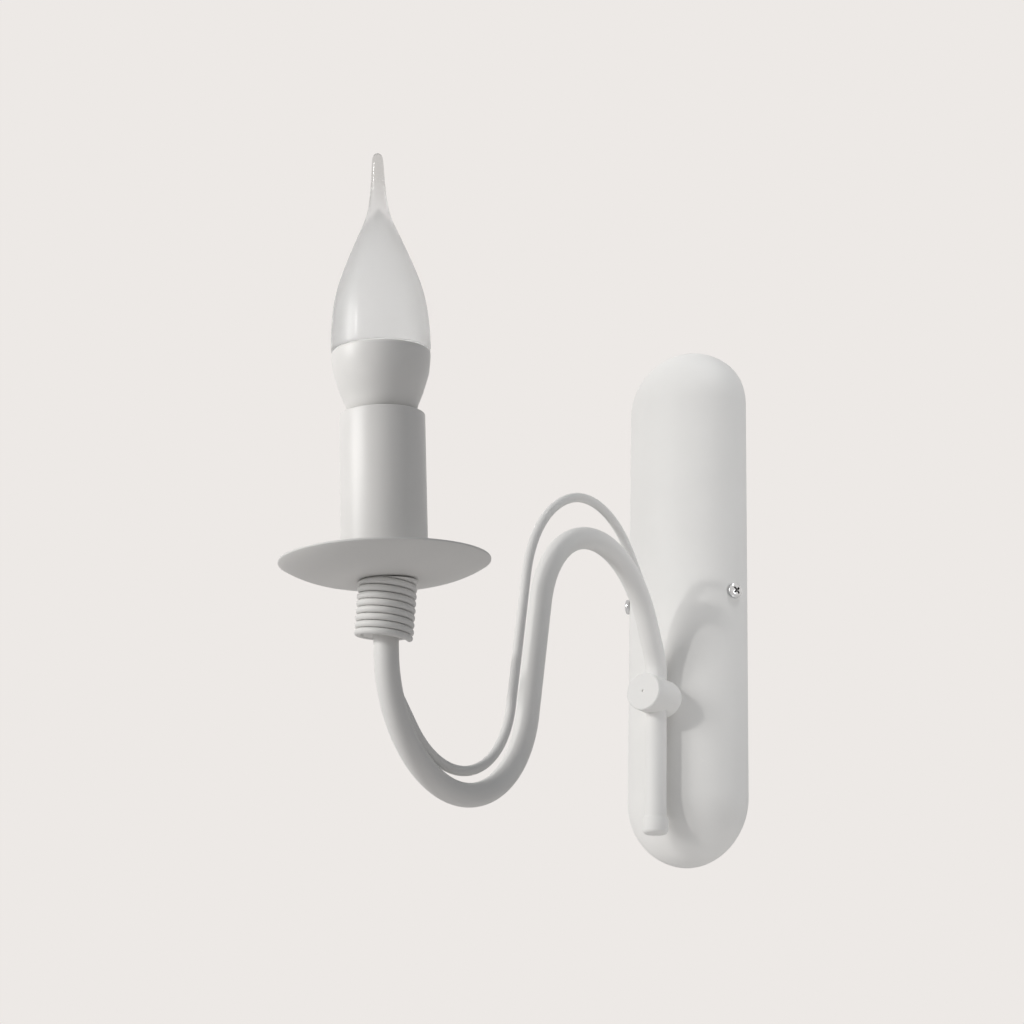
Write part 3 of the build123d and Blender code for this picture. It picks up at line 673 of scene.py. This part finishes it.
class CANDLE_OT_cover(bpy.types.Operator):
    """Model the wall cover: a stretched ellipsoid cut at the wall and given its sheet"""

    bl_idname = "candle_light.cover"
    bl_label = "Wall cover"

    def execute(self, context):
        sizes = context.scene.candle_cover
        half = sizes.width / 2
        run = sizes.height / 2 - half
        crown = sizes.depth - sizes.flank
        bm = bmesh.new()
        shape = Matrix.Translation((0, -sizes.flank, 0)) @ Matrix.Diagonal((half, crown, half, 1))
        bmesh.ops.create_uvsphere(bm, u_segments=128, v_segments=64, radius=1.0, matrix=shape)
        # The upper half, raised and drawn down to the middle, then mirrored.
        bmesh.ops.bisect_plane(bm, geom=whole(bm), plane_co=(0, 0, 0), plane_no=(0, 0, 1), clear_inner=True)
        bmesh.ops.translate(bm, vec=(0, 0, run), verts=bm.verts)
        self.draw_rim(bm, (0, 0, -run))
        bmesh.ops.mirror(bm, geom=whole(bm), axis="Z", merge_dist=10 * SAME_POINT)
        # The front half, with its straight flank drawn back to the wall.
        bmesh.ops.bisect_plane(
            bm, geom=whole(bm), plane_co=(0, -sizes.flank, 0), plane_no=(0, 1, 0), clear_outer=True
        )
        self.draw_rim(bm, (0, sizes.flank, 0))
        bmesh.ops.remove_doubles(bm, verts=bm.verts, dist=SAME_POINT)
        bmesh.ops.recalc_face_normals(bm, faces=bm.faces)
        # The sheet goes inwards only if the faces look out into the room.
        if sum(face.normal.y * face.calc_area() for face in bm.faces) > 0:
            bmesh.ops.reverse_faces(bm, faces=bm.faces)
        bmesh.ops.solidify(bm, geom=bm.faces, thickness=sizes.wall)
        settle(bm, "dressed_cover", "white_paint", "wall_base", ["wall_cover"], sharp=40.0)
        return {"FINISHED"}

    def draw_rim(self, bm, step):
        """Extrude the open rim by this step."""
        rim = [edge for edge in bm.edges if edge.is_boundary]
        grown = bmesh.ops.extrude_edge_only(bm, edges=rim)["geom"]
        bmesh.ops.translate(bm, vec=step, verts=corners(grown))


class CANDLE_OT_arm(bpy.types.Operator):
    """Model the arm's tube as runs and bends"""

    bl_idname = "candle_light.arm"
    bl_label = "Arm tube"

    def execute(self, context):
        arm = context.scene.candle_arm
        up = Vector(LAMP_JOINT["axis"])
        lean = atan2(-up.y, up.z)
        moves = [
            (arm.leg, None, None),
            (None, arm.kick_radius, arm.kick),
            (arm.lead, None, None),
            (None, arm.arch_radius, arm.arch),
            (arm.fall, None, None),
            (None, arm.dip_radius, lean - arm.kick - arm.arch),
            (arm.tail, None, None),
        ]
        bm = bent_rod(leg_foot(arm), 0.0, arm.tube / 2, moves, segments=48)
        settle(bm, "dressed_arm_tube", "white_paint", "arm", ["arm_tube"])
        return {"FINISHED"}


class CANDLE_OT_end_cap(bpy.types.Operator):
    """Spin the cap on the leg's foot, with a rounded lower edge"""

    bl_idname = "candle_light.end_cap"
    bl_label = "End cap"

    def execute(self, context):
        arm = context.scene.candle_arm
        clearance = 0.03 * MM
        rounding = 1.7 * MM
        soft = 0.3 * MM
        steps = 8
        rim = arm.cap / 2
        top = arm.cap_height
        bore = arm.tube / 2 + clearance
        bends = [pi / 2 * step / steps for step in range(steps + 1)]
        foot = [(rim - rounding * (1 - sin(bend)), rounding * (1 - cos(bend))) for bend in bends]
        edge = [(rim - soft * (1 - cos(bend)), top - soft * (1 - sin(bend))) for bend in bends]
        inside = [(bore, top), (bore, arm.cap_floor), (0.0, arm.cap_floor)]
        bm = turned([(0.0, 0.0)] + foot + edge + inside, closed=False, segments=72)
        low = leg_foot(arm) - Vector((0, 0, arm.cap_floor))
        bmesh.ops.translate(bm, vec=low, verts=bm.verts)
        settle(bm, "dressed_end_cap", "white_paint", "arm", ["leg_end_cap"])
        return {"FINISHED"}


class CANDLE_OT_accent(bpy.types.Operator):
    """Model the accent wire from the tube's own bends"""

    bl_idname = "candle_light.accent"
    bl_label = "Accent wire"

    def execute(self, context):
        arm = context.scene.candle_arm
        # The tube's bends, as far as the dip.
        leg_end = leg_foot(arm) + heading_step(0.0) * arm.leg
        kick_centre = leg_end + centre_step(0.0) * arm.kick_radius
        kick_end = kick_centre - centre_step(arm.kick) * arm.kick_radius
        lead_end = kick_end + heading_step(arm.kick) * arm.lead
        arch_centre = lead_end + centre_step(arm.kick) * arm.arch_radius
        fall_heading = arm.kick + arm.arch
        fall_start = arch_centre - centre_step(fall_heading) * arm.arch_radius
        fall_end = fall_start + heading_step(fall_heading) * arm.fall
        dip_centre = fall_end - centre_step(fall_heading) * arm.dip_radius
        # The root, a bend that brings the wire out of the arch's first part.
        leave = arm.wire_leave
        leave_point = arch_centre - centre_step(leave) * (arm.arch_radius + arm.wire_sink)
        root_centre = leave_point + centre_step(leave) * arm.wire_root_radius
        root_heading = leave - arm.wire_root
        root = root_centre - centre_step(root_heading) * arm.wire_root_radius
        climb_end = leave_point + heading_step(leave) * arm.wire_rise
        # The wire's arch, whose second radius brings it onto its lane beside the falling run.
        outward = centre_step(fall_heading) * -1
        lane = fall_start + outward * arm.wire_spacing
        shift = arm.wire_shift
        shift_point = climb_end + (centre_step(leave) - centre_step(shift)) * arm.wire_arch_radius
        swing = centre_step(shift) - centre_step(fall_heading)
        second_radius = (lane - shift_point).dot(outward) / swing.dot(outward)
        over_end = shift_point + swing * second_radius
        # The lower bend, which leaves the lane and passes over the dip's lowest point.
        turn_height = dip_centre.z - arm.dip_radius + arm.wire_lift + arm.wire_dip_radius
        reach = arm.wire_dip_radius - (turn_height - lane.z) * outward.z
        turn_centre = Vector((0, lane.y + reach / outward.y, turn_height))
        turn_start = turn_centre + centre_step(fall_heading) * arm.wire_dip_radius
        drop = (turn_start - over_end).dot(heading_step(fall_heading))
        moves = [
            (None, arm.wire_root_radius, arm.wire_root),
            (arm.wire_rise, None, None),
            (None, arm.wire_arch_radius, shift - leave),
            (None, second_radius, fall_heading - shift),
            (drop, None, None),
            (None, arm.wire_dip_radius, arm.wire_end - fall_heading),
            (arm.wire_land, None, None),
        ]
        bm = bent_rod(root, root_heading, arm.wire / 2, moves, segments=28)
        settle(bm, "dressed_accent_wire", "white_paint", "arm", ["accent_wire"])
        return {"FINISHED"}


class CANDLE_OT_coil(bpy.types.Operator):
    """Wind the coil collar, a little askew, and grind its top flat"""

    bl_idname = "candle_light.coil"
    bl_label = "Coil collar"

    def execute(self, context):
        sizes = context.scene.candle_sizes
        wire_radius = sizes.coil_wire / 2
        radius = sizes.coil_outer / 2 - wire_radius
        steps_per_turn = 56
        steps = int(sizes.coil_turns * steps_per_turn)
        climb = atan2(sizes.coil_pitch, 2 * pi * radius)
        bm = bmesh.new()
        place = (
            Matrix.Rotation(sizes.coil_begin, 4, "Z")
            @ Matrix.Translation((radius, 0, sizes.coil_start + wire_radius))
            @ Matrix.Rotation(pi / 2 - climb, 4, "X")
        )
        ring = disc(bm, wire_radius, place, segments=18)
        # The wire climbs as it goes clockwise, seen from above: a left-hand coil.
        spun = bmesh.ops.spin(
            bm,
            geom=ring + ring_corners(ring),
            cent=(0, 0, 0),
            axis=(0, 0, 1),
            dvec=(0, 0, sizes.coil_pitch / steps_per_turn),
            angle=-2 * pi * steps / steps_per_turn,
            steps=steps,
            use_merge=False,
        )
        bmesh.ops.edgeloop_fill(bm, edges=edges_in(spun["geom_last"]))
        middle = Matrix.Translation((0, 0, (sizes.coil_start + sizes.coil_face) / 2))
        tilt_axis = Vector((0.56, -0.83, 0))
        askew = Matrix.Rotation(-sizes.coil_tilt, 4, tilt_axis)
        bmesh.ops.transform(bm, matrix=middle @ askew @ middle.inverted(), verts=bm.verts)
        bmesh.ops.bisect_plane(
            bm, geom=whole(bm), plane_co=(0, 0, sizes.coil_face), plane_no=(0, 0, 1), clear_outer=True
        )
        bmesh.ops.holes_fill(bm, edges=[edge for edge in bm.edges if edge.is_boundary], sides=0)
        put_on_candle(bm)
        settle(bm, "dressed_coil", "white_paint", "arm", ["collar_coil"], sharp=60.0)
        return {"FINISHED"}


class CANDLE_OT_plate(bpy.types.Operator):
    """Spin the drip plate with a softened rim"""

    bl_idname = "candle_light.plate"
    bl_label = "Drip plate"

    def execute(self, context):
        sizes = context.scene.candle_sizes
        rim_radius = sizes.plate / 2
        reach = rim_radius - sizes.plate_flat
        dish = (reach**2 + sizes.plate_rise**2) / (2 * sizes.plate_rise)
        rows = 12
        under = [(sizes.plate_hole, sizes.plate_height)]
        for row in range(rows + 1):
            out = reach * row / rows
            lift = dish - (dish**2 - out**2) ** 0.5
            under.append((sizes.plate_flat + out, sizes.plate_height + lift))
        upper = [(radius, height + sizes.plate_sheet) for radius, height in reversed(under)]
        bm = turned(under + upper, closed=True, segments=144)
        circles = [edge for edge in bm.edges if runs_round(edge)]
        rim = [edge for edge in circles if edge.verts[0].co.xy.length > rim_radius - SAME_POINT]
        soften(bm, rim, sizes.plate_sheet)
        put_on_candle(bm)
        settle(bm, "dressed_drip_plate", "white_paint", "arm", ["drip_plate"])
        return {"FINISHED"}


class CANDLE_OT_sleeve(bpy.types.Operator):
    """Spin the candle sleeve with softened ends"""

    bl_idname = "candle_light.sleeve"
    bl_label = "Candle sleeve"

    def execute(self, context):
        sizes = context.scene.candle_sizes
        outer = sizes.sleeve / 2
        inner = outer - sizes.sleeve_wall
        foot = sizes.sleeve_height
        top = foot + sizes.sleeve_length
        bm = turned([(inner, foot), (outer, foot), (outer, top), (inner, top)], closed=True, segments=128)
        soften(bm, [edge for edge in bm.edges if runs_round(edge)], sizes.sleeve_wall)
        put_on_candle(bm)
        settle(bm, "dressed_sleeve", "sleeve_white", "arm", ["candle_sleeve"])
        return {"FINISHED"}


class CANDLE_OT_lamp(bpy.types.Operator):
    """Blow the flame glass, mould the cup under it and roll the cap's thread"""

    bl_idname = "candle_light.lamp"
    bl_label = "Flame lamp"

    def execute(self, context):
        lamp = context.scene.candle_lamp
        self.glass(lamp)
        self.cup(lamp)
        self.cap(lamp)
        return {"FINISHED"}

    def glass(self, lamp):
        """The glass: swelling low, drawn out to a thin solid tip."""
        # Radius and height over the seam in millimetres; the last height is stretched to the flame's.
        outline = [
            (19.10, 0.1), (19.15, 2.8), (18.95, 9.3), (18.40, 15.8), (17.30, 22.3), (15.40, 28.8),
            (12.90, 35.3), (10.20, 41.8), (7.30, 48.3), (5.90, 51.5), (4.70, 54.7), (3.80, 58.0),
            (3.05, 64.5), (2.55, 71.0), (2.30, 77.3), (1.85, 79.2), (1.05, 80.1), (0.0, 80.4),
        ]
        # The hollow follows the glass up to the neck and then closes in a cone.
        neck_radius = 7.0 * MM
        cone = [(4.1, 51.5), (1.8, 54.7), (0.7, 56.2), (0.0, 57.0)]
        stretch = lamp.flame / outline[-1][1]
        outer, hollow_end = [
            [(radius * MM, lamp.seam + height * stretch) for radius, height in points]
            for points in (outline, cone)
        ]
        hollow = [(radius - lamp.glass_wall, height) for radius, height in outer if radius > neck_radius]
        bm = turned(outer[::-1] + hollow + hollow_end, closed=False, segments=64)
        put_on_candle(bm)
        settle(bm, "dressed_flame_glass", "frosted_glass", "lamp", ["bulb_glass"], sharp=50.0, rounded=True)

    def cup(self, lamp):
        """The white cup: a waist in the sleeve, swelling to the seam, with a rounded lip."""
        # Radius and height over the seam in millimetres, up the outside and down the inside.
        outline = [
            (6.45, -29.0), (9.0, -29.0), (10.6, -27.2), (13.0, -24.7), (13.9, -20.7), (15.9, -15.8),
            (18.2, -8.5), (18.75, -4.5), (18.98, -1.4), (18.95, -0.5), (18.75, -0.12), (18.1, 0.0),
            (17.7, -0.05), (17.7, -3.9), (16.5, -4.0), (16.6, -8.2), (14.5, -15.0), (12.4, -20.4),
            (11.6, -24.0), (6.45, -27.6),
        ]
        placed = [(radius * MM, lamp.seam + height * MM) for radius, height in outline]
        bm = turned(placed, closed=True, segments=96)
        put_on_candle(bm)
        settle(bm, "dressed_lamp_cup", "housing_white", "lamp", ["bulb_housing"], sharp=40.0)

    def cap(self, lamp):
        """The screw cap: a rolled round thread between two plain bands."""
        pitch = lamp.thread_pitch
        plain_foot = 0.4 * pitch
        plain_top = 1.5 * pitch
        low = lamp.cap_foot + plain_foot
        high = lamp.cap_top - plain_top
        turns = int((high - low) / pitch)
        steps = 48
        rows = 8
        mean = (lamp.cap_radius + lamp.cap_crest) / 2
        swing = (lamp.cap_crest - lamp.cap_radius) / 2
        waves = [(mean - swing * cos(2 * pi * row / rows), pitch * row / rows) for row in range(rows + 1)]
        bm = bmesh.new()
        bmesh.ops.spin(
            bm,
            geom=chain(bm, [(radius, 0, low + rise) for radius, rise in waves]),
            cent=(0, 0, 0),
            axis=(0, 0, 1),
            dvec=(0, 0, pitch / steps),
            angle=2 * pi * turns,
            steps=steps * turns,
            use_merge=False,
        )
        bmesh.ops.remove_doubles(bm, verts=bm.verts, dist=SAME_POINT)
        # The plain body lies just under the thread's roots and has a wider band on top.
        under = 0.02 * MM
        root = lamp.cap_radius - under
        crest = lamp.cap_crest - under
        sheet = 0.35 * MM
        inner = root - sheet
        slope_foot = lamp.cap_top - 2.4 * MM
        slope_top = lamp.cap_top - 2.0 * MM
        body = [
            (inner, lamp.cap_foot),
            (root, lamp.cap_foot),
            (root, slope_foot),
            (crest, slope_top),
            (crest, lamp.cap_top),
            (inner, lamp.cap_top),
        ]
        lathe(bm, body, closed=True, segments=64)
        put_on_candle(bm)
        settle(bm, "dressed_screw_cap", "cap_metal", "lamp", ["bulb_screw_cap"], sharp=50.0)


class CANDLE_OT_stage(bpy.types.Operator):
    """Set up the floor, the light and the camera"""

    bl_idname = "candle_light.stage"
    bl_label = "Stage"

    def execute(self, context):
        scene = context.scene
        stage = scene.candle_stage
        ground = (*scene.candle_finishes.background, 1.0)
        self.world(scene, stage, ground)
        self.floor(scene, stage, ground)
        self.lights(scene, stage)
        self.camera(scene, stage)
        scene.view_settings.view_transform = "Standard"
        return {"FINISHED"}

    def world(self, scene, stage, ground):
        """Even light from all sides, with the pale ground where the camera, gloss or glass sees it."""
        world = bpy.data.worlds.new("studio")
        scene.world = world
        world.use_nodes = True
        tree = world.node_tree
        tree.nodes.clear()
        cool = (0.96, 1.0, 1.05, 1.0)
        even, pale = [
            Signal.node(tree, "ShaderNodeBackground", None, {"Color": shade, "Strength": level})
            for shade, level in ((cool, stage.fill), (ground, 1.0))
        ]
        surface(tree, blended(tree, seen_directly(tree), even, pale), "ShaderNodeOutputWorld")

    def floor(self, scene, stage, ground):
        """A wide floor well below the object, pale to the eye, that keeps the object's shadow."""
        half_width = 6.0
        level = Matrix.Translation((0, 0, stage.floor))
        bm = bmesh.new()
        bmesh.ops.create_grid(bm, x_segments=1, y_segments=1, size=half_width, matrix=level)
        mesh = bpy.data.meshes.new("floor")
        bm.to_mesh(mesh)
        bm.free()
        material, tree = blank_finish("pale_floor")
        lit = principled(tree, {"Base Color": ground, "Roughness": 0.9, "Specular IOR Level": 0.1})
        pale = Signal.node(tree, "ShaderNodeEmission", None, {"Color": ground, "Strength": 1.0})
        # Squares of the distances in metres between which the floor fades into the background.
        fade_start = 0.2
        fade_end = 25.0
        near_share = 0.75
        x, y = coordinates(tree, "XY")
        far = (x * x + y * y).clamped(fade_start, fade_end)
        share = seen_directly(tree) * (far * (1.0 - near_share) + near_share)
        surface(tree, blended(tree, share, lit, pale))
        mesh.materials.append(material)
        floor = bpy.data.objects.new("floor", mesh)
        scene.collection.objects.link(floor)

    def lights(self, scene, stage):
        """A soft key from the left, a crisp one in front, spots on the cover's edges and light from below."""
        warm = (1.0, 0.985, 0.965)
        # Name, strength, width in degrees and direction of each sun.
        suns = (
            ("key", stage.key, 24.0, (-0.62, -0.74, 0.25)),
            ("front", stage.front, 3.5, (-0.36, -0.88, 0.31)),
        )
        for name, power, width, direction in suns:
            sun = bpy.data.lights.new(name, "SUN")
            sun.energy = power
            sun.angle = radians(width)
            sun.color = warm
            self.hang(scene, sun, (0, 0, 0), Vector(direction))
        # Name, strength, place and aim of each spot.
        spots = (
            ("side", stage.side, (0.62, -0.10, 0.0), (0, 0.03, 0)),
            ("over", stage.over, (0.25, -0.08, 0.60), (0, 0.02, 0.08)),
            ("heel", stage.heel, (0.12, -0.08, -0.44), (0, 0.02, -0.09)),
        )
        for name, power, place, aim in spots:
            spot = bpy.data.lights.new(name, "SPOT")
            spot.energy = power
            spot.spot_size = radians(34.0)
            spot.spot_blend = 0.6
            spot.shadow_soft_size = 0.08
            self.hang(scene, spot, place, Vector(place) - Vector(aim))
        under = bpy.data.lights.new("under", "AREA")
        under.size = 1.0
        under.energy = stage.under
        over_floor = 0.03
        low = bpy.data.objects.new("under", under)
        low.location = (0.1, -0.3, stage.floor + over_floor)
        low.rotation_euler = (pi, 0, 0)
        low.visible_camera = False
        scene.collection.objects.link(low)

    def hang(self, scene, light, place, back):
        """Put a light at this place, with its back turned to this direction."""
        held = bpy.data.objects.new(light.name, light)
        held.location = place
        held.rotation_euler = back.to_track_quat("Z", "Y").to_euler()
        scene.collection.objects.link(held)

    def camera(self, scene, stage):
        """The photograph's angle: from the right, a little below."""
        lens = bpy.data.cameras.new("camera")
        lens.lens = stage.lens
        lens.sensor_width = 36.0
        lens.clip_start = 0.01
        lens.clip_end = 50.0
        eye = bpy.data.objects.new("camera", lens)
        right = Vector((0.83222, 0.55394, 0.02354))
        up = Vector((0.15354, -0.27106, 0.95024))
        back = Vector((0.53276, -0.78719, -0.31063))
        turn = Matrix((right, up, back)).transposed().to_4x4()
        eye.matrix_world = Matrix.Translation(stage.eye) @ turn
        scene.collection.objects.link(eye)
        scene.camera = eye


STEPS = (
    CANDLE_OT_finishes,
    CANDLE_OT_cover,
    CANDLE_OT_arm,
    CANDLE_OT_end_cap,
    CANDLE_OT_accent,
    CANDLE_OT_coil,
    CANDLE_OT_plate,
    CANDLE_OT_sleeve,
    CANDLE_OT_lamp,
    CANDLE_OT_stage,
)


class CANDLE_PT_panel(bpy.types.Panel):
    """Lists the light's pieces in the order in which they are made"""

    bl_label = "Candle wall light"
    bl_idname = "CANDLE_PT_panel"
    bl_space_type = "VIEW_3D"
    bl_region_type = "UI"
    bl_category = "Candle light"

    def draw(self, context):
        for step in STEPS:
            self.layout.operator(step.bl_idname)


GROUPS = (
    ("candle_cover", CoverSizes),
    ("candle_arm", ArmSizes),
    ("candle_sizes", CandleSizes),
    ("candle_lamp", LampSizes),
    ("candle_finishes", Finishes),
    ("candle_stage", StageSettings),
)


def register():
    """Add the sizes, the operators and the panel."""
    for name, group in GROUPS:
        bpy.utils.register_class(group)
        setattr(bpy.types.Scene, name, bpy.props.PointerProperty(type=group))
    bpy.types.Scene.candle_finish_names = bpy.props.StringProperty(
        name="Finish names", description="Material made for each slot of the record", default="{}"
    )
    for step in STEPS:
        bpy.utils.register_class(step)
    bpy.utils.register_class(CANDLE_PT_panel)


def unregister():
    """Take the panel, the operators and the sizes away again."""
    bpy.utils.unregister_class(CANDLE_PT_panel)
    for step in reversed(STEPS):
        bpy.utils.unregister_class(step)
    del bpy.types.Scene.candle_finish_names
    for name, group in reversed(GROUPS):
        delattr(bpy.types.Scene, name)
        bpy.utils.unregister_class(group)


def main():
    """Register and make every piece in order."""
    register()
    for step in STEPS:
        group, name = step.bl_idname.split(".")
        getattr(getattr(bpy.ops, group), name)()


if __name__ == "__main__":
    main()
